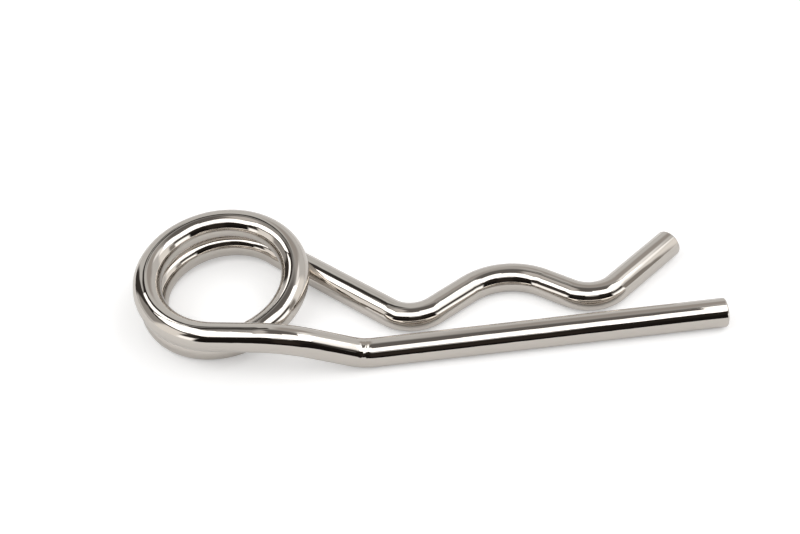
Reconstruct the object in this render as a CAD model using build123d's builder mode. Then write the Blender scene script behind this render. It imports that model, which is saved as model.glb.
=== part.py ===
from build123d import *

import math
import os

# A hitch R clip, bent and coiled from one length of round spring wire, lying on a level surface.
# The origin is where the coil's axis meets that surface, +X runs along the straight leg and +Z is up.
# Sizes are in millimetres and angles in degrees. Angles round the coil are counted from +X,
# counter-clockwise seen from above, which is also the way the wire climbs.

# Wire
wire_diameter = 4.0
end_round = 0.3  # radius of the rim of each cut end

# Coil
coil_inner_diameter = 16.8
turn_gap = 0.15  # clear space between one turn and the next
coil_start_angle = 45.7  # where the wavy leg leaves the lowest turn
flare_start_angle = 540.0  # where the top turn begins to open out, on the left of the coil
flare_stop_angle = 616.0  # where it leaves the coil for the straight leg
flare_widening = 2.3  # how much larger the radius is there
lean_back = 6.0  # the back of the coil stands higher than its front
lean_side = 2.4  # the right of the coil stands higher than its left

# Straight leg
leg_offset = 4.7  # from the coil's radius to the leg's centreline
shoulder_run = 10.2  # from where the wire leaves the coil to the shoulder's corner
kink_x = 18.7  # where the sloping wire meets the level leg
leg_length = 49.4  # from the kink to the free end
shoulder_inner_radius = 10.0
kink_inner_radius = 5.0

# Wavy leg
dip_run = 1.0  # how far the wire still slopes down when it has left the coil
valley_gap = 1.9  # clear space between each valley and the straight leg
crest_height = 9.2  # from the first valley's corner to the crest's corner
tip_length = 16.2  # from the second valley's corner to the free end
rise_angle = 33.6  # of the run up to the crest, from the straight leg
fall_angle = 38.1  # of the run down from the crest
tip_angle = 40.2  # of the last run, which opens the mouth
dip_inner_radius = 10.0
valley_inner_radius = 3.0
crest_inner_radius = 7.0

# Sizes that follow from the wire
wire_radius = wire_diameter / 2
coil_radius = coil_inner_diameter / 2 + wire_radius
coil_pitch = wire_diameter + turn_gap
leg_y = -coil_radius - leg_offset
coil_plane = Plane.XY.rotated((lean_back, -lean_side, 0))


def coil_stretch(radius, start_angle, stop_angle, axis_x, height):
    """Return the centreline of a stretch of the leaning coil, which climbs at one slope all along."""
    pitch = coil_pitch * radius / coil_radius
    climb = pitch * (stop_angle - start_angle) / 360
    place = Location((axis_x, 0, height), (0, 0, start_angle))
    return coil_plane.location * place * Helix(pitch, climb, radius)


def valley_corner_y(turn_angle):
    """Return the height over Y of a valley's corner, whose bend clears the straight leg by the gap."""
    bend_radius = valley_inner_radius + wire_radius
    corner_depth = bend_radius / math.cos(math.radians(turn_angle / 2)) - bend_radius
    return leg_y + wire_diameter + valley_gap - corner_depth


# Height of the coil: its lowest turn rests on the surface, or stands as high as the dip needs
low_coil = coil_stretch(coil_radius, coil_start_angle, flare_start_angle, 0, 0)
dip_slope = (low_coil % 0).Z
lift_to_surface = wire_radius - low_coil.bounding_box().min.Z
lift_to_dip = wire_radius + dip_run * dip_slope - (low_coil @ 0).Z
coil_lift = max(lift_to_surface, lift_to_dip) / coil_plane.z_dir.Z

# Coil and flare
flare_height = coil_lift + coil_pitch * (flare_start_angle - coil_start_angle) / 360
coil_line = coil_stretch(coil_radius, coil_start_angle, flare_start_angle, 0, coil_lift)
flare_line = coil_stretch(
    coil_radius + flare_widening,
    flare_start_angle,
    flare_stop_angle,
    flare_widening,
    flare_height,
)

# Corners of the straight leg, from the coil to the free end
shoulder = flare_line @ 1 + (flare_line % 1) * shoulder_run
kink = Vector(kink_x, leg_y, wire_radius)
leg_end = kink + Vector(leg_length, 0, 0)

# Corners of the wavy leg, from the coil to the tip
wave_start = coil_line @ 0
wave_direction = (coil_line % 0) * -1
dip = wave_start + wave_direction * ((wave_start.Z - wire_radius) / dip_slope)
first_angle = math.degrees(math.atan2(-wave_direction.Y, wave_direction.X))
first_valley_y = valley_corner_y(first_angle + rise_angle)
first_valley = Vector(
    dip.X + (dip.Y - first_valley_y) / math.tan(math.radians(first_angle)),
    first_valley_y,
    wire_radius,
)
crest = first_valley + Vector(crest_height / math.tan(math.radians(rise_angle)), crest_height, 0)
second_valley_y = valley_corner_y(fall_angle + tip_angle)
second_valley = Vector(
    crest.X + (crest.Y - second_valley_y) / math.tan(math.radians(fall_angle)),
    second_valley_y,
    wire_radius,
)
tip = second_valley + Vector(tip_length, 0, 0).rotate(Axis.Z, tip_angle)

with BuildPart() as r_clip:
    with BuildLine() as centreline:
        straight_leg = FilletPolyline(
            leg_end,
            kink,
            shoulder,
            flare_line @ 1,
            radius=[kink_inner_radius + wire_radius, shoulder_inner_radius + wire_radius],
        )
        add(flare_line)
        add(coil_line)
        wavy_leg = FilletPolyline(
            wave_start,
            dip,
            first_valley,
            crest,
            second_valley,
            tip,
            radius=[
                dip_inner_radius + wire_radius,
                valley_inner_radius + wire_radius,
                crest_inner_radius + wire_radius,
                valley_inner_radius + wire_radius,
            ],
        )
    with BuildSketch(Plane(origin=straight_leg @ 0, z_dir=straight_leg % 0)):
        Circle(wire_radius)
    sweep()
    cut_ends = r_clip.faces().filter_by(GeomType.PLANE)
    fillet(cut_ends.edges(), end_round)

r_clip.part.label = "r_clip"
wire_length = sum(edge.length for edge in centreline.edges())
print("wire length", round(wire_length, 2), "mm")
print("section times length", round(math.pi * wire_radius**2 * wire_length, 1), "mm3")
print("volume", round(r_clip.part.volume, 1), "mm3")

os.makedirs("parts", exist_ok=True)
export_step(r_clip.part, "parts/r_clip.step")
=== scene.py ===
import logging
import math
from dataclasses import dataclass, field
from enum import Enum
from typing import Any

import bpy
from mathutils import Matrix, Vector


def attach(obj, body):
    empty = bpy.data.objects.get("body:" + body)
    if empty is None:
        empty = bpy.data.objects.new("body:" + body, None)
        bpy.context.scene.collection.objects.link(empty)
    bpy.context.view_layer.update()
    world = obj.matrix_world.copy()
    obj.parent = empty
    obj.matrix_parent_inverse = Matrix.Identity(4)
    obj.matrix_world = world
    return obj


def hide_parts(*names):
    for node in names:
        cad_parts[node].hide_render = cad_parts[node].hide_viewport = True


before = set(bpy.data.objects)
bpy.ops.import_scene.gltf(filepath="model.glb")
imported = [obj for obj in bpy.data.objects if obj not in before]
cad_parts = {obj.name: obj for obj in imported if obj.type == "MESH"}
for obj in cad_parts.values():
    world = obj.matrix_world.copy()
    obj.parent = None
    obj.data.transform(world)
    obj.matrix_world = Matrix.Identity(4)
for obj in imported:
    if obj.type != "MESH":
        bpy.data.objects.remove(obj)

# A hitch R clip, bent and coiled from one length of bright nickel-plated spring wire, lying on a
# white table under seven lamp panels. Sizes are fields in millimetres and degrees; meshes are in metres.

MM = 0.001
LOG = logging.getLogger("r_clip_scene")
SKIN_MAP = "along_and_round"  # the wire's own map: metres along it and turns round it
CUT_MARK = "cut_end"  # the face attribute that marks the two cut faces

Tree = bpy.types.NodeTree
Socket = bpy.types.NodeSocket
Colour = tuple[float, float, float, float]


class WireEnd(Enum):
    """The two cut ends of the wire."""

    LEG = "free end of the straight leg"
    TIP = "tip of the wavy leg"


def linear(hex_colour: str, strength: float = 1.0) -> Colour:
    """Turn an sRGB hex colour into linear light.

    Args:
        hex_colour: Six hex digits, such as "D0CAC3".
        strength: How bright it shines, where 1 leaves the colour as it is written.

    Returns:
        Red, green, blue and an alpha of 1, in linear light.
    """
    channels = []
    for start in (0, 2, 4):
        value = int(hex_colour[start : start + 2], 16) / 255
        # The sRGB curve, which is a straight line near black
        level = value / 12.92 if value <= 0.04045 else ((value + 0.055) / 1.055) ** 2.4
        channels.append(level * strength)
    return (channels[0], channels[1], channels[2], 1.0)


def add_node(
    tree: Tree,
    kind: str,
    settings: dict[str, Any] | None = None,
    links: dict[str | int, Any] | None = None,
) -> bpy.types.Node:
    """Add a node to a tree.

    Args:
        tree: The node tree that gets the node.
        kind: The node's type name, such as "ShaderNodeMath".
        settings: Values for the node's own properties.
        links: For each input, by name or number, the output socket that feeds it or its value.

    Returns:
        The new node.
    """
    node = tree.nodes.new(kind)
    for name, value in (settings or {}).items():
        setattr(node, name, value)
    for name, value in (links or {}).items():
        if isinstance(value, Socket):
            tree.links.new(value, node.inputs[name])
        else:
            node.inputs[name].default_value = value
    return node


def soft_band(
    tree: Tree, value: Socket, middle: float, edge: tuple[float, float], top: float = 1.0
) -> Socket:
    """Mark a band of values, with a soft edge on each side.

    Args:
        tree: The node tree that gets the nodes.
        value: The value that the band is a stretch of.
        middle: The middle of the band.
        edge: How far from the middle the mark has gone, and how far from it the mark is full.
        top: The full mark.

    Returns:
        The mark, from 0 to the full mark.
    """
    gone, full = edge
    off = add_node(tree, "ShaderNodeMath", {"operation": "SUBTRACT"}, {0: value, 1: middle})
    away = add_node(tree, "ShaderNodeMath", {"operation": "ABSOLUTE"}, {0: off.outputs[0]})
    mark = add_node(
        tree,
        "ShaderNodeMapRange",
        {"interpolation_type": "SMOOTHSTEP"},
        {"Value": away.outputs[0], "From Min": gone, "From Max": full, "To Max": top},
    )
    return mark.outputs[0]


@dataclass(frozen=True)
class SkinGrain:
    """An uneven pattern in the wire's skin, with its sizes and depth in millimetres."""

    round_wire: float
    along_wire: float
    depth: float
    detail: float
    roughness: float

    def lay(self, tree: Tree, skin: Socket, wire_radius: float) -> Socket:
        """Lay the pattern on the skin.

        Args:
            tree: The material's node tree.
            skin: Place on the skin: cosine and sine of the turn round it, and metres along it.
            wire_radius: Radius of the wire in millimetres.

        Returns:
            The pattern's height, from 0 to 1.
        """
        across = wire_radius / self.round_wire
        place = add_node(
            tree,
            "ShaderNodeMapping",
            links={"Vector": skin, "Scale": (across, across, 1 / (self.along_wire * MM))},
        )
        noise = add_node(
            tree,
            "ShaderNodeTexNoise",
            links={
                "Vector": place.outputs[0],
                "Scale": 1.0,
                "Detail": self.detail,
                "Roughness": self.roughness,
            },
        )
        return noise.outputs["Fac"]


@dataclass(frozen=True)
class BrightNickel:
    """Bright nickel plate on drawn spring-steel wire, polished in the barrel.

    It mirrors the studio in warm grey, with fine lines along the wire where the die has drawn it and
    a slow unevenness where the wire was bent. The sheared ends are plated over a rougher face.
    """

    plate_hex: str = "D0CAC3"
    roughness: float = 0.035
    # Shares of the roughness in the draw lines' grooves and on their ridges, and those two heights
    haze: tuple[float, float] = (0.7, 1.5)
    haze_heights: tuple[float, float] = (0.35, 0.75)
    # Draw lines; real ones are finer and wouldn't show
    lines: SkinGrain = SkinGrain(
        round_wire=0.3, along_wire=7.0, depth=0.004, detail=2.0, roughness=0.6
    )
    # The slow unevenness left by the bending tools
    wave: SkinGrain = SkinGrain(
        round_wire=3.4, along_wire=3.4, depth=0.03, detail=1.0, roughness=0.4
    )
    # What the bending jaws pinched
    nip: SkinGrain = SkinGrain(
        round_wire=0.9, along_wire=0.9, depth=0.09, detail=1.0, roughness=0.5
    )
    nip_width: float = 2.2  # mm along the wire
    # Tear marks on the sheared faces
    tear_grain: float = 0.35  # mm
    tear_detail: float = 3.0
    tear_depth: float = 0.02  # mm
    end_roughness: float = 0.3

    def make(self, wire_radius: float, nips: list[tuple[float, float]]) -> bpy.types.Material:
        """Build the material.

        Args:
            wire_radius: Radius of the wire in millimetres, which the lines run round.
            nips: Where the bending jaws pinched the wire: metres along it, and strength from 0 to 1.

        Returns:
            The finished material.
        """
        material = bpy.data.materials.new("bright_nickel_on_drawn_wire")
        material.use_nodes = True
        tree = material.node_tree
        tree.nodes.clear()
        skin, along = self.read_skin(tree)
        is_end = add_node(tree, "ShaderNodeAttribute", {"attribute_name": CUT_MARK}).outputs["Fac"]
        lines = self.lines.lay(tree, skin, wire_radius)
        wave = self.wave.lay(tree, skin, wire_radius)
        nip = self.nip.lay(tree, skin, wire_radius)
        # Each layer's height, where it is kept, or None for all over, and its depth in millimetres
        layers = (
            (wave, None, self.wave.depth),
            (lines, None, self.lines.depth),
            (nip, self.nip_places(tree, along, nips), self.nip.depth),
            (self.tear(tree), is_end, self.tear_depth),
        )
        relief: dict[str | int, Any] = {}
        for height, place, depth in layers:
            if place is not None:
                links = {0: height, 1: place}
                height = add_node(tree, "ShaderNodeMath", {"operation": "MULTIPLY"}, links).outputs[0]
            links = {"Strength": 1.0, "Distance": depth * MM, "Height": height}
            layer = add_node(tree, "ShaderNodeBump", links=links | relief)
            relief = {"Normal": layer.outputs[0]}
        groove, ridge = self.haze_heights
        smooth, dull = self.haze
        haze = add_node(
            tree,
            "ShaderNodeMapRange",
            links={
                "Value": lines,
                "From Min": groove,
                "From Max": ridge,
                "To Min": self.roughness * smooth,
                "To Max": self.roughness * dull,
            },
        )
        shine = add_node(
            tree,
            "ShaderNodeMix",
            {"data_type": "FLOAT"},
            {0: is_end, 2: haze.outputs[0], 3: self.end_roughness},
        )
        surface = {
            "Base Color": linear(self.plate_hex),
            "Metallic": 1.0,
            "Roughness": shine.outputs[0],
        }
        shader = add_node(tree, "ShaderNodeBsdfPrincipled", links=surface | relief)
        add_node(tree, "ShaderNodeOutputMaterial", links={"Surface": shader.outputs[0]})
        return material

    def read_skin(self, tree: Tree) -> tuple[Socket, Socket]:
        """Read the wire's map.

        Args:
            tree: The material's node tree.

        Returns:
            Place on the skin, as cosine and sine of the turn round it and metres along it, and those
            metres by themselves.
        """
        place = add_node(tree, "ShaderNodeUVMap", {"uv_map": SKIN_MAP})
        split = add_node(tree, "ShaderNodeSeparateXYZ", links={0: place.outputs["UV"]})
        turn = add_node(
            tree, "ShaderNodeMath", {"operation": "MULTIPLY"}, {0: split.outputs["Y"], 1: math.tau}
        )
        across = add_node(tree, "ShaderNodeMath", {"operation": "COSINE"}, {0: turn.outputs[0]})
        over = add_node(tree, "ShaderNodeMath", {"operation": "SINE"}, {0: turn.outputs[0]})
        skin = add_node(
            tree,
            "ShaderNodeCombineXYZ",
            links={0: across.outputs[0], 1: over.outputs[0], 2: split.outputs["X"]},
        )
        return skin.outputs[0], split.outputs["X"]

    def nip_places(
        self, tree: Tree, along: Socket, nips: list[tuple[float, float]]
    ) -> Socket | float:
        """Mark the stretches of wire that the bending jaws pinched.

        Args:
            tree: The material's node tree.
            along: Metres along the wire.
            nips: Metres along the wire and strength of each pinch.

        Returns:
            How hard the wire is pinched, from 0 to 1.
        """
        total: Socket | float = 0.0
        for place, strength in nips:
            nip = soft_band(tree, along, place, (self.nip_width * MM / 2, 0.0), strength)
            joined = add_node(tree, "ShaderNodeMath", {"operation": "MAXIMUM"}, {0: nip, 1: total})
            total = joined.outputs[0]
        return total

    def tear(self, tree: Tree) -> Socket:
        """Return the height of the tear marks of a sheared face, from 0 to 1."""
        where = add_node(tree, "ShaderNodeTexCoord")
        marks = add_node(
            tree,
            "ShaderNodeTexNoise",
            links={
                "Vector": where.outputs["Object"],
                "Scale": 1 / (self.tear_grain * MM),
                "Detail": self.tear_detail,
            },
        )
        return marks.outputs["Fac"]


@dataclass(frozen=True)
class WhiteTable:
    """Matt white laminate, lit to a clean white that keeps the shadow under the wire."""

    surface_hex: str = "E7E7E7"
    roughness: float = 0.5
    camera_lift: float = 0.36  # added to what the camera sees, so that the bare table is white
    mirror_lift: float = 0.1  # added to what the metal mirrors

    def make(self) -> bpy.types.Material:
        """Build the material.

        Returns:
            The finished material, whose faint glow only the camera and the metal see.
        """
        material = bpy.data.materials.new("matt_white_laminate")
        material.use_nodes = True
        tree = material.node_tree
        tree.nodes.clear()
        ray = add_node(tree, "ShaderNodeLightPath")
        mirrored = add_node(
            tree,
            "ShaderNodeMath",
            {"operation": "MAXIMUM"},
            {0: ray.outputs["Is Glossy Ray"], 1: ray.outputs["Is Transmission Ray"]},
        )
        faint = add_node(
            tree,
            "ShaderNodeMath",
            {"operation": "MULTIPLY"},
            {0: mirrored.outputs[0], 1: self.mirror_lift},
        )
        strength = add_node(
            tree,
            "ShaderNodeMath",
            {"operation": "MULTIPLY_ADD"},
            {0: ray.outputs["Is Camera Ray"], 1: self.camera_lift, 2: faint.outputs[0]},
        )
        matt = add_node(
            tree,
            "ShaderNodeBsdfDiffuse",
            links={"Color": linear(self.surface_hex), "Roughness": self.roughness},
        )
        glow = add_node(tree, "ShaderNodeEmission", links={"Strength": strength.outputs[0]})
        both = add_node(
            tree, "ShaderNodeAddShader", links={0: matt.outputs[0], 1: glow.outputs[0]}
        )
        add_node(tree, "ShaderNodeOutputMaterial", links={"Surface": both.outputs[0]})
        return material


class WireBender:
    """Bends one length of wire in edit mode, as a bending machine does: feed, bend and wind.

    The ring of edges at the head of the wire stays selected, and each step extrudes it onwards.
    """

    RIM_SEGMENTS: int = 5
    SAME_PLANE: float = 1e-6  # metres, between an end's ring and the plane of its cut
    WHOLE_RING: float = 1.01  # of the wire's radius, within which an end's ring lies
    SQUARE_ON: float = 0.99  # cosine of the angle between a cut face and the end's direction
    CENTRED: float = 0.1  # of the wire's radius, between a cut face's middle and the end's

    def __init__(self, name: str, radius: float, sides: int, bend_step: float) -> None:
        """Set the bender up.

        Args:
            name: Name of the finished piece.
            radius: Radius of the wire in millimetres.
            sides: Edges round the wire.
            bend_step: Largest turn between two rings in degrees.
        """
        self.name = name
        self.radius = radius * MM
        self.sides = sides
        self.bend_step = math.radians(bend_step)
        self.head = Vector()
        self.heading = Vector((1.0, 0.0, 0.0))
        self.fed = [0.0]  # metres along the wire at each ring
        self.bends: list[tuple[float, float]] = []  # metres along the wire where each starts and stops

    def clamp(self, start: Vector, heading: Vector) -> None:
        """Add the first ring.

        Args:
            start: Centre of the ring in metres.
            heading: Direction in which the wire leaves it.
        """
        if bpy.context.object and bpy.context.object.mode != "OBJECT":
            bpy.ops.object.mode_set(mode="OBJECT")
        bpy.ops.object.select_all(action="DESELECT")
        bpy.ops.mesh.primitive_circle_add(
            vertices=self.sides,
            radius=self.radius,
            fill_type="NOTHING",
            location=start,
            rotation=heading.to_track_quat("Z", "Y").to_euler(),
        )
        bpy.ops.object.transform_apply(location=True, rotation=True, scale=True)
        self.piece = bpy.context.object
        self.piece.name = self.name
        self.piece.data.name = self.name
        self.head = start.copy()
        self.heading = heading.normalized()
        bpy.ops.object.mode_set(mode="EDIT")
        bpy.ops.mesh.select_mode(type="EDGE")
        bpy.ops.mesh.select_all(action="SELECT")

    def feed(self, distance: float) -> None:
        """Feed the wire straight on.

        Args:
            distance: Length of the straight run in metres.
        """
        step = self.heading * distance
        bpy.ops.mesh.extrude_edges_move(TRANSFORM_OT_translate={"value": step})
        self.head += step
        self.fed.append(self.fed[-1] + distance)

    def turn(self, centre: Vector, axis: Vector, angle: float, climb: float = 0.0) -> None:
        """Turn the head about an axis in steps, with an even climb along it.

        Args:
            centre: A point on the axis in metres.
            axis: Direction of the axis.
            angle: Whole turn in radians, counter-clockwise about the axis.
            climb: Whole climb along the axis in metres.
        """
        steps = max(1, math.ceil(abs(angle) / self.bend_step))
        axis = axis.normalized()
        rise = axis * (climb / steps)
        reach = (self.head - centre) - axis * (self.head - centre).dot(axis)
        length = math.hypot(reach.length * angle / steps, climb / steps)
        part = Matrix.Rotation(angle / steps, 3, axis)
        for _ in range(steps):
            # The spin operator counts its angle clockwise
            bpy.ops.mesh.spin(
                steps=1, angle=-angle / steps, center=centre, axis=axis, use_auto_merge=False
            )
            if climb:
                bpy.ops.transform.translate(value=rise)
            self.head = centre + part @ (self.head - centre) + rise
            self.heading = part @ self.heading
            self.fed.append(self.fed[-1] + length)

    def bend(self, corner: Vector, beyond: Vector, radius: float) -> None:
        """Feed the wire towards a corner and bend it there.

        Args:
            corner: Where the two straight runs would meet, in metres.
            beyond: The next corner, in metres.
            radius: Radius of the bend's centreline in metres.
        """
        onward = (beyond - corner).normalized()
        angle = self.heading.angle(onward)
        axis = self.heading.cross(onward).normalized()
        self.feed((corner - self.head).length - radius * math.tan(angle / 2))
        start = self.fed[-1]
        self.turn(self.head + axis.cross(self.heading) * radius, axis, angle)
        self.bends.append((start, self.fed[-1]))

    def map_skin(self) -> None:
        """Write the map of the wire's skin: metres along the wire and turns round it."""
        bpy.ops.object.mode_set(mode="OBJECT")
        mesh = self.piece.data
        skin = mesh.uv_layers[0]
        skin.name = SKIN_MAP
        for face in mesh.polygons:
            corners = [mesh.loops[i].vertex_index for i in face.loop_indices]
            seam = {v % self.sides for v in corners} >= {0, self.sides - 1}
            for loop, vertex in zip(face.loop_indices, corners):
                place = vertex % self.sides
                if seam and place == 0:
                    place = self.sides
                skin.data[loop].uv = (self.fed[vertex // self.sides], place / self.sides)

    def cut(self, end: WireEnd, place: Vector, facing: Vector, rim: float) -> None:
        """Close one end of the wire with a flat face and round its rim.

        Args:
            end: Which end is cut.
            place: Centre of the end in metres.
            facing: Direction in which the end faces.
            rim: Radius of the rim in metres.
        """
        bpy.ops.object.mode_set(mode="OBJECT")
        mesh = self.piece.data
        for group in (mesh.vertices, mesh.edges, mesh.polygons):
            group.foreach_set("select", [False] * len(group))
        for edge in mesh.edges:
            middle = (mesh.vertices[edge.vertices[0]].co + mesh.vertices[edge.vertices[1]].co) / 2
            on_end = abs((middle - place).dot(facing)) < self.SAME_PLANE
            edge.select = on_end and (middle - place).length < self.radius * self.WHOLE_RING
        bpy.ops.object.mode_set(mode="EDIT")
        bpy.ops.mesh.select_mode(type="EDGE")
        bpy.ops.mesh.edge_face_add()
        bpy.ops.mesh.bevel(offset=rim, segments=self.RIM_SEGMENTS, profile=0.5, affect="EDGES")
        bpy.ops.mesh.select_all(action="DESELECT")
        bpy.ops.object.mode_set(mode="OBJECT")
        for face in mesh.polygons:
            flat = len(face.vertices) == self.sides and face.normal.dot(facing) > self.SQUARE_ON
            face.select = flat and (face.center - place).length < self.radius * self.CENTRED
        bpy.ops.object.mode_set(mode="EDIT")
        bpy.ops.mesh.select_mode(type="FACE")
        # A ring inside the rim keeps the rim's shading off the flat face
        bpy.ops.mesh.inset(thickness=rim / 2)
        bpy.ops.object.mode_set(mode="OBJECT")
        LOG.info("cut the %s", end.value)


@dataclass
class Coil:
    """The coil: one helix that leans back and to the right, and opens out where the top turn leaves."""

    inner_diameter: float = 16.8
    turn_gap: float = 0.15
    start_angle: float = 45.7
    flare_start_angle: float = 540.0
    flare_stop_angle: float = 616.0
    flare_widening: float = 2.3
    lean_back: float = 6.0
    lean_side: float = 2.4
    dip_run: float = 1.0  # how far the wavy leg still slopes down when it has left the coil
    radius: float = field(init=False)
    pitch: float = field(init=False)
    lean: Matrix = field(init=False)
    axis: Vector = field(init=False)
    lift: float = field(init=False)

    def settle(self, wire_radius: float) -> None:
        """Work out where the coil stands.

        Args:
            wire_radius: Radius of the wire in millimetres.
        """
        self.radius = self.inner_diameter / 2 + wire_radius
        self.pitch = wire_radius * 2 + self.turn_gap
        lean = Matrix.Rotation(math.radians(self.lean_back), 3, "X")
        self.lean = lean @ Matrix.Rotation(math.radians(-self.lean_side), 3, "Y")
        self.axis = self.lean @ Vector((0.0, 0.0, 1.0))
        self.lift = 0.0
        lowest_turn = range(1800, 4500)  # tenths of a degree
        low_point = min(self.at(math.radians(tenths / 10)).z for tenths in lowest_turn)
        start = math.radians(self.start_angle)
        slope = self.along(start).z
        on_table = wire_radius - low_point
        on_dip = wire_radius + self.dip_run * slope - self.at(start).z
        self.lift = max(on_table, on_dip) / self.axis.z

    def at(self, angle: float, widening: float = 0.0) -> Vector:
        """Return a point of the coil's centreline in millimetres.

        Args:
            angle: Angle round the coil in radians.
            widening: How much larger the radius is than the coil's.

        Returns:
            The point.
        """
        radius = self.radius + widening
        flare = math.radians(self.flare_start_angle)
        climb = self.pitch * (angle - math.radians(self.start_angle)) / math.tau
        climb += (angle - flare) * self.pitch * widening / self.radius / math.tau
        flat = Vector((widening + radius * math.cos(angle), radius * math.sin(angle), 0.0))
        return self.lean @ (flat + Vector((0.0, 0.0, self.lift + climb)))

    def along(self, angle: float) -> Vector:
        """Return the direction in which the wire climbs at an angle in radians."""
        rise = self.pitch / math.tau / self.radius
        return (self.lean @ Vector((-math.sin(angle), math.cos(angle), rise))).normalized()

    def wind(self, bender: WireBender) -> None:
        """Wind the flare and the coil, from the straight leg down to the wavy leg.

        Args:
            bender: The bender, with its head where the straight leg's wire meets the flare.
        """
        start = math.radians(self.start_angle)
        flare = math.radians(self.flare_start_angle)
        stop = math.radians(self.flare_stop_angle)
        slope = self.pitch / math.tau
        wide_slope = slope * (self.radius + self.flare_widening) / self.radius
        hub = self.lean @ Vector((self.flare_widening, 0.0, 0.0))
        bender.turn(hub * MM, self.axis, flare - stop, (flare - stop) * wide_slope * MM)
        bender.turn(Vector(), self.axis, start - flare, (start - flare) * slope * MM)


@dataclass
class StraightLeg:
    """The leg that goes through the shaft, with the sloping wire that joins it to the coil."""

    offset: float = 4.7
    shoulder_run: float = 10.2
    kink_x: float = 18.7
    length: float = 49.4
    shoulder_inner_radius: float = 10.0
    kink_inner_radius: float = 5.0
    line_y: float = field(init=False)
    end: Vector = field(init=False)

    def form(self, bender: WireBender, coil: Coil, wire_radius: float) -> None:
        """Feed and bend the leg, from its free end to the coil.

        Args:
            bender: The bender, with no wire in it yet.
            coil: The coil that the leg runs into.
            wire_radius: Radius of the wire in millimetres.
        """
        stop = math.radians(coil.flare_stop_angle)
        joint = coil.at(stop, coil.flare_widening)
        self.line_y = -coil.radius - self.offset
        shoulder = joint + coil.along(stop) * self.shoulder_run
        kink = Vector((self.kink_x, self.line_y, wire_radius))
        self.end = kink + Vector((self.length, 0.0, 0.0))
        bender.clamp(self.end * MM, Vector((-1.0, 0.0, 0.0)))
        bender.bend(kink * MM, shoulder * MM, (self.kink_inner_radius + wire_radius) * MM)
        bender.bend(shoulder * MM, joint * MM, (self.shoulder_inner_radius + wire_radius) * MM)
        bender.feed((joint * MM - bender.head).length)


@dataclass
class WavyLeg:
    """The sprung leg: a dip off the coil, a valley, the crest over the shaft, a valley and the tip."""

    valley_gap: float = 1.9
    crest_height: float = 9.2
    tip_length: float = 16.2
    rise_angle: float = 33.6
    fall_angle: float = 38.1
    tip_angle: float = 40.2
    dip_inner_radius: float = 10.0
    valley_inner_radius: float = 3.0
    crest_inner_radius: float = 7.0
    heading: Vector = field(init=False)
    end: Vector = field(init=False)

    def form(self, bender: WireBender, coil: Coil, leg: StraightLeg, wire_radius: float) -> None:
        """Feed and bend the leg, from the coil to its tip.

        Args:
            bender: The bender, with its head where the coil stops.
            coil: The coil that the leg comes out of.
            leg: The straight leg, which the valleys stay clear of.
            wire_radius: Radius of the wire in millimetres.
        """
        start = coil.at(math.radians(coil.start_angle))
        onward = -coil.along(math.radians(coil.start_angle))
        dip = start + onward * ((start.z - wire_radius) / -onward.z)
        first_angle = math.degrees(math.atan2(-onward.y, onward.x))
        first_y = self.valley_y(first_angle + self.rise_angle, leg, wire_radius)
        first_run = (dip.y - first_y) / math.tan(math.radians(first_angle))
        first = Vector((dip.x + first_run, first_y, wire_radius))
        rise_run = self.crest_height / math.tan(math.radians(self.rise_angle))
        crest = first + Vector((rise_run, self.crest_height, 0.0))
        second_y = self.valley_y(self.fall_angle + self.tip_angle, leg, wire_radius)
        fall_run = (crest.y - second_y) / math.tan(math.radians(self.fall_angle))
        second = Vector((crest.x + fall_run, second_y, wire_radius))
        tip = math.radians(self.tip_angle)
        self.heading = Vector((math.cos(tip), math.sin(tip), 0.0))
        self.end = second + self.heading * self.tip_length
        valley_radius = (self.valley_inner_radius + wire_radius) * MM
        bender.bend(dip * MM, first * MM, (self.dip_inner_radius + wire_radius) * MM)
        bender.bend(first * MM, crest * MM, valley_radius)
        bender.bend(crest * MM, second * MM, (self.crest_inner_radius + wire_radius) * MM)
        bender.bend(second * MM, self.end * MM, valley_radius)
        bender.feed((self.end * MM - bender.head).length)

    def valley_y(self, turn_angle: float, leg: StraightLeg, wire_radius: float) -> float:
        """Work out where a valley's corner lies.

        Args:
            turn_angle: How far the wire turns there, in degrees.
            leg: The straight leg, which the bend clears by the gap.
            wire_radius: Radius of the wire in millimetres.

        Returns:
            The corner's Y in millimetres.
        """
        bend_radius = self.valley_inner_radius + wire_radius
        depth = bend_radius / math.cos(math.radians(turn_angle / 2)) - bend_radius
        return leg.line_y + 2 * wire_radius + self.valley_gap - depth


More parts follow.
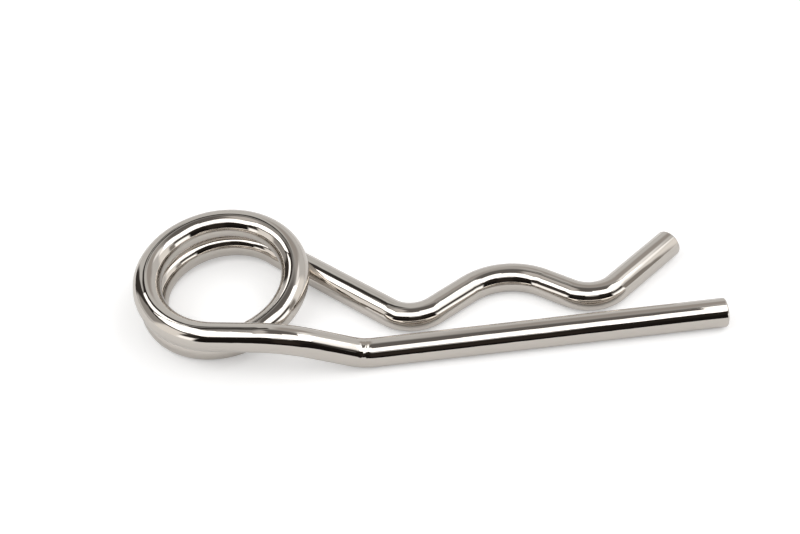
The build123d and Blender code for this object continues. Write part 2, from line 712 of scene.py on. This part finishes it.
@dataclass
class RClip:
    """The whole clip, one length of wire."""

    wire_diameter: float = 4.0
    end_round: float = 0.3
    sides: int = 80
    bend_step: float = 2.5
    smooth_angle: float = 35.0  # between two faces, up to which they shade as one
    kink_nip: float = 1.0  # how deep the jaws bit at the kink
    bend_nip: float = 0.2  # and at the ends of the other bends
    coil: Coil = field(default_factory=Coil)
    straight_leg: StraightLeg = field(default_factory=StraightLeg)
    wavy_leg: WavyLeg = field(default_factory=WavyLeg)
    finish: BrightNickel = field(default_factory=BrightNickel)

    def build(self) -> bpy.types.Object:
        """Bend the clip, cut its ends and dress it.

        Returns:
            The finished piece, which stands for the CAD wire.
        """
        radius = self.wire_diameter / 2
        bender = WireBender("r_clip_wire", radius, self.sides, self.bend_step)
        self.coil.settle(radius)
        self.straight_leg.form(bender, self.coil, radius)
        self.coil.wind(bender)
        self.wavy_leg.form(bender, self.coil, self.straight_leg, radius)
        bender.map_skin()
        leg_end = self.straight_leg.end * MM
        tip_end = self.wavy_leg.end * MM
        bender.cut(WireEnd.LEG, leg_end, Vector((1.0, 0.0, 0.0)), self.end_round * MM)
        bender.cut(WireEnd.TIP, tip_end, self.wavy_leg.heading, self.end_round * MM)
        piece = bender.piece
        self.close(piece)
        self.dress(piece, [leg_end, tip_end], self.nips(bender.bends))
        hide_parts("r_clip")
        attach(piece, "root")
        return piece

    def close(self, piece: bpy.types.Object) -> None:
        """Turn the faces outwards and shade the wire smooth.

        Args:
            piece: The bent wire.
        """
        bpy.ops.object.mode_set(mode="EDIT")
        bpy.ops.mesh.select_all(action="SELECT")
        bpy.ops.mesh.normals_make_consistent(inside=False)
        bpy.ops.mesh.select_all(action="DESELECT")
        bpy.ops.object.mode_set(mode="OBJECT")
        bpy.ops.object.select_all(action="DESELECT")
        piece.select_set(True)
        bpy.context.view_layer.objects.active = piece
        bpy.ops.object.shade_smooth_by_angle(angle=math.radians(self.smooth_angle))

    def nips(self, bends: list[tuple[float, float]]) -> list[tuple[float, float]]:
        """Work out where the bending jaws pinched the wire.

        Args:
            bends: Where each bend starts and stops, in metres along the wire from the straight
                leg's free end.

        Returns:
            Metres along the wire and strength of each pinch.
        """
        kink, _, dip, *waves = bends
        marks = [(sum(kink) / 2, self.kink_nip), (dip[0], self.bend_nip)]
        for wave in waves:
            marks += [(place, self.bend_nip) for place in wave]
        return marks

    def dress(
        self, piece: bpy.types.Object, ends: list[Vector], nips: list[tuple[float, float]]
    ) -> None:
        """Give the wire its plate and mark its cut faces.

        Args:
            piece: The bent wire.
            ends: Centres of the two cut faces in metres.
            nips: Metres along the wire and strength of each pinch of the bending jaws.
        """
        mesh = piece.data
        mark = mesh.attributes.new(CUT_MARK, "FLOAT", "FACE")
        flat_radius = (self.wire_diameter / 2 - self.end_round) * MM
        for face in mesh.polygons:
            off_end = min((face.center - end).length for end in ends)
            is_cut = len(face.vertices) == self.sides and off_end < flat_radius / 2
            mark.data[face.index].value = float(is_cut)
        mesh.materials.clear()
        mesh.materials.append(self.finish.make(self.wire_diameter / 2, nips))


@dataclass(frozen=True)
class SkyPatch:
    """A soft-edged patch of the room that the wire mirrors, by its direction.

    Azimuths count from the camera's side, positive to the right, and elevations from the horizon.
    """

    name: str
    azimuth: tuple[float, float]
    elevation: tuple[float, float]
    softness: float
    hex_colour: str
    strength: float = 1.0

    def paint(self, tree: Tree, azimuth: Socket, elevation: Socket, below: Any) -> Socket:
        """Paint the patch over what is painted so far.

        Args:
            tree: The world's node tree.
            azimuth: Azimuth of each direction in degrees.
            elevation: Elevation of each direction in degrees.
            below: The colour painted so far.

        Returns:
            The colour with the patch over it.
        """
        shares = []
        for angle, (low, high) in ((azimuth, self.azimuth), (elevation, self.elevation)):
            half = (high - low) / 2
            edge = (half + self.softness / 2, half - self.softness / 2)
            shares.append(soft_band(tree, angle, (low + high) / 2, edge))
        mask = add_node(
            tree, "ShaderNodeMath", {"operation": "MULTIPLY"}, {0: shares[0], 1: shares[1]}
        )
        settings = {"data_type": "RGBA", "label": self.name}
        colour = linear(self.hex_colour, self.strength)
        painted = add_node(
            tree, "ShaderNodeMix", settings, {"Factor": mask.outputs[0], 6: below, 7: colour}
        )
        return painted.outputs[2]


@dataclass
class Studio:
    """A white table in a grey room, with a dark camera side and seven softbox panels overhead."""

    table_size: float = 2400.0
    room_hex: str = "DDDDDC"
    softbox_height: float = 800.0
    softbox_strength: float = 1.9  # how bright a panel looks, where white is 1
    # Edges of the panels as shares of their height over the table: left, right, front, back
    softbox_panels: tuple[tuple[float, float, float, float], ...] = (
        (-0.9, 0.14, -0.8, -0.19),
        (0.14, 0.5, -0.8, -0.1),
        (0.5, 0.9, -0.8, -0.19),
        (-1.0, -0.45, -0.19, 0.08),
        (-1.0, -0.48, 0.08, 0.55),
        (-0.8, -0.46, 0.6, 0.9),
        (0.46, 1.05, -0.19, 0.25),
    )
    patches: tuple[SkyPatch, ...] = (
        SkyPatch("ceiling", (-200.0, 200.0), (61.0, 120.0), 20.0, "726F6D"),
        SkyPatch("ceiling by the left panel", (-150.0, -25.0), (66.0, 80.0), 8.0, "D8D5D2"),
        SkyPatch("back wall, right", (140.0, 174.0), (30.0, 60.0), 14.0, "B4AFAB"),
        SkyPatch("end of the left panel", (-177.0, -132.0), (49.0, 60.0), 5.0, "3E3B39"),
        SkyPatch("left doorway", (-126.0, -92.0), (12.0, 46.0), 8.0, "A5A29F"),
        SkyPatch("door post", (-140.0, -123.0), (-8.0, 46.0), 5.0, "3F3B39"),
        SkyPatch("door head", (-126.0, -95.0), (38.0, 46.0), 5.0, "7C7976"),
        SkyPatch("frame of the left panel", (-166.0, -124.0), (41.0, 47.0), 4.0, "2E2A28"),
        SkyPatch("left wall", (-92.0, -50.0), (-20.0, 42.0), 8.0, "FFFCF8", 1.08),
        SkyPatch("left panel, low edge", (-108.0, -76.0), (42.0, 52.0), 5.0, "FFFFFF", 1.6),
        SkyPatch("left panel's front frame", (-126.0, -64.0), (37.5, 42.5), 3.0, "2E2A28"),
        SkyPatch("left strip light", (-66.0, -51.0), (2.0, 19.0), 5.0, "FFFFFF", 1.6),
        SkyPatch("left flag", (-68.0, -50.0), (21.0, 43.0), 6.0, "45413E"),
        SkyPatch("dark camera side", (-50.0, 44.0), (-20.0, 44.0), 5.0, "1C1917"),
        SkyPatch("flag over it, left", (-58.0, -16.0), (26.0, 51.0), 6.0, "2A2623"),
        SkyPatch("flag over it, right", (18.0, 50.0), (26.0, 49.0), 6.0, "2E2A27"),
        SkyPatch("camera stand", (-14.0, 16.0), (14.0, 42.0), 10.0, "342E2A"),
        SkyPatch("right window", (45.0, 73.0), (-20.0, 18.0), 5.0, "FFFFFF", 1.8),
        SkyPatch("right boom", (46.0, 76.0), (23.0, 36.0), 6.0, "55514E"),
        SkyPatch("right softbox", (56.0, 114.0), (37.0, 55.0), 8.0, "FFFFFF", 1.6),
        SkyPatch("end of the right softbox", (113.0, 137.0), (46.0, 57.0), 7.0, "FFFFFF", 1.25),
        SkyPatch("right wall", (86.0, 112.0), (-20.0, 36.0), 10.0, "FFFCF8", 1.12),
        SkyPatch("window frame", (73.0, 85.0), (2.0, 28.0), 5.0, "9A9590"),
    )
    table: WhiteTable = field(default_factory=WhiteTable)

    def build(self) -> None:
        """Make the table, the lamps and the room."""
        self.lay_table()
        for number, panel in enumerate(self.softbox_panels):
            self.hang_panel(number, panel)
        self.paint_room()

    def lay_table(self) -> None:
        """Lay the white table under the clip."""
        bpy.ops.object.select_all(action="DESELECT")
        bpy.ops.mesh.primitive_plane_add(size=self.table_size * MM)
        table = bpy.context.object
        table.name = "white_table"
        table.data.materials.append(self.table.make())

    def hang_panel(self, number: int, panel: tuple[float, float, float, float]) -> None:
        """Hang one panel of the softbox overhead.

        Args:
            number: Which panel it is.
            panel: Its left, right, front and back edges as shares of the height.
        """
        left, right, front, back = (share * self.softbox_height * MM for share in panel)
        light = bpy.data.lights.new(f"softbox_panel_{number}", "AREA")
        light.shape = "RECTANGLE"
        light.size = right - left
        light.size_y = back - front
        light.energy = self.softbox_strength * math.pi * light.size * light.size_y
        lamp = bpy.data.objects.new(light.name, light)
        lamp.location = ((left + right) / 2, (front + back) / 2, self.softbox_height * MM)
        lamp.visible_camera = False
        bpy.context.collection.objects.link(lamp)

    def paint_room(self) -> None:
        """Paint the room into the world: what the metal mirrors, behind a backdrop seen as white."""
        world = bpy.data.worlds.new("studio_room")
        bpy.context.scene.world = world
        world.use_nodes = True
        tree = world.node_tree
        tree.nodes.clear()
        azimuth, elevation = self.read_direction(tree)
        colour: Any = linear(self.room_hex)
        for patch in self.patches:
            colour = patch.paint(tree, azimuth, elevation, colour)
        room = add_node(tree, "ShaderNodeBackground", links={"Color": colour})
        white = add_node(tree, "ShaderNodeBackground", links={"Color": linear("FFFFFF")})
        ray = add_node(tree, "ShaderNodeLightPath")
        shown = add_node(
            tree,
            "ShaderNodeMixShader",
            links={0: ray.outputs["Is Camera Ray"], 1: room.outputs[0], 2: white.outputs[0]},
        )
        add_node(tree, "ShaderNodeOutputWorld", links={"Surface": shown.outputs[0]})

    def read_direction(self, tree: Tree) -> tuple[Socket, Socket]:
        """Read the direction that a ray leaves in.

        Args:
            tree: The world's node tree.

        Returns:
            Its azimuth and its elevation in degrees.
        """
        look = add_node(tree, "ShaderNodeTexCoord")
        axes = add_node(tree, "ShaderNodeSeparateXYZ", links={0: look.outputs["Generated"]})
        right = axes.outputs["X"]
        front = add_node(
            tree, "ShaderNodeMath", {"operation": "MULTIPLY"}, {0: axes.outputs["Y"], 1: -1.0}
        )
        turn = add_node(
            tree, "ShaderNodeMath", {"operation": "ARCTAN2"}, {0: right, 1: front.outputs[0]}
        )
        rise = add_node(tree, "ShaderNodeMath", {"operation": "ARCSINE"}, {0: axes.outputs["Z"]})
        azimuth = add_node(tree, "ShaderNodeMath", {"operation": "DEGREES"}, {0: turn.outputs[0]})
        elevation = add_node(tree, "ShaderNodeMath", {"operation": "DEGREES"}, {0: rise.outputs[0]})
        return azimuth.outputs[0], elevation.outputs[0]


@dataclass
class Photographer:
    """The camera, at the photograph's place and angle."""

    lens: float = 58.5
    sensor_width: float = 36.0
    nearest: float = 10.0  # what is nearer isn't drawn
    farthest: float = 50000.0  # nor what is farther
    azimuth: float = -0.059  # of the line of sight, from +Y towards +X
    elevation: float = 42.862  # how far it looks down
    roll: float = -6.592
    place: tuple[float, float, float] = (25.157, -136.367, 129.645)

    def set_up(self) -> None:
        """Place the camera and set the view."""
        turn = math.radians(self.azimuth)
        drop = math.radians(self.elevation)
        roll = math.radians(self.roll)
        look = Vector(
            (math.cos(drop) * math.sin(turn), math.cos(drop) * math.cos(turn), -math.sin(drop))
        )
        level = Vector((math.cos(turn), -math.sin(turn), 0.0))
        up = level.cross(look)
        right = level * math.cos(roll) + up * math.sin(roll)
        top = up * math.cos(roll) - level * math.sin(roll)
        optics = bpy.data.cameras.new("photo_camera")
        optics.sensor_width = self.sensor_width
        optics.lens = self.lens
        optics.clip_start = self.nearest * MM
        optics.clip_end = self.farthest * MM
        camera = bpy.data.objects.new("photo_camera", optics)
        camera.matrix_world = (
            Matrix.Translation(Vector(self.place) * MM)
            @ Matrix((right, top, -look)).transposed().to_4x4()
        )
        bpy.context.collection.objects.link(camera)
        bpy.context.scene.camera = camera
        bpy.context.scene.view_settings.view_transform = "Standard"


def main() -> None:
    """Build the scene in order and report each piece."""
    logging.basicConfig(level=logging.INFO, format="%(name)s: %(message)s")
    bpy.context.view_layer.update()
    Photographer().set_up()
    LOG.info("camera placed")
    clip = RClip().build()
    LOG.info("%s: %d faces", clip.name, len(clip.data.polygons))
    Studio().build()
    LOG.info("studio built")


if __name__ == "__main__":
    main()
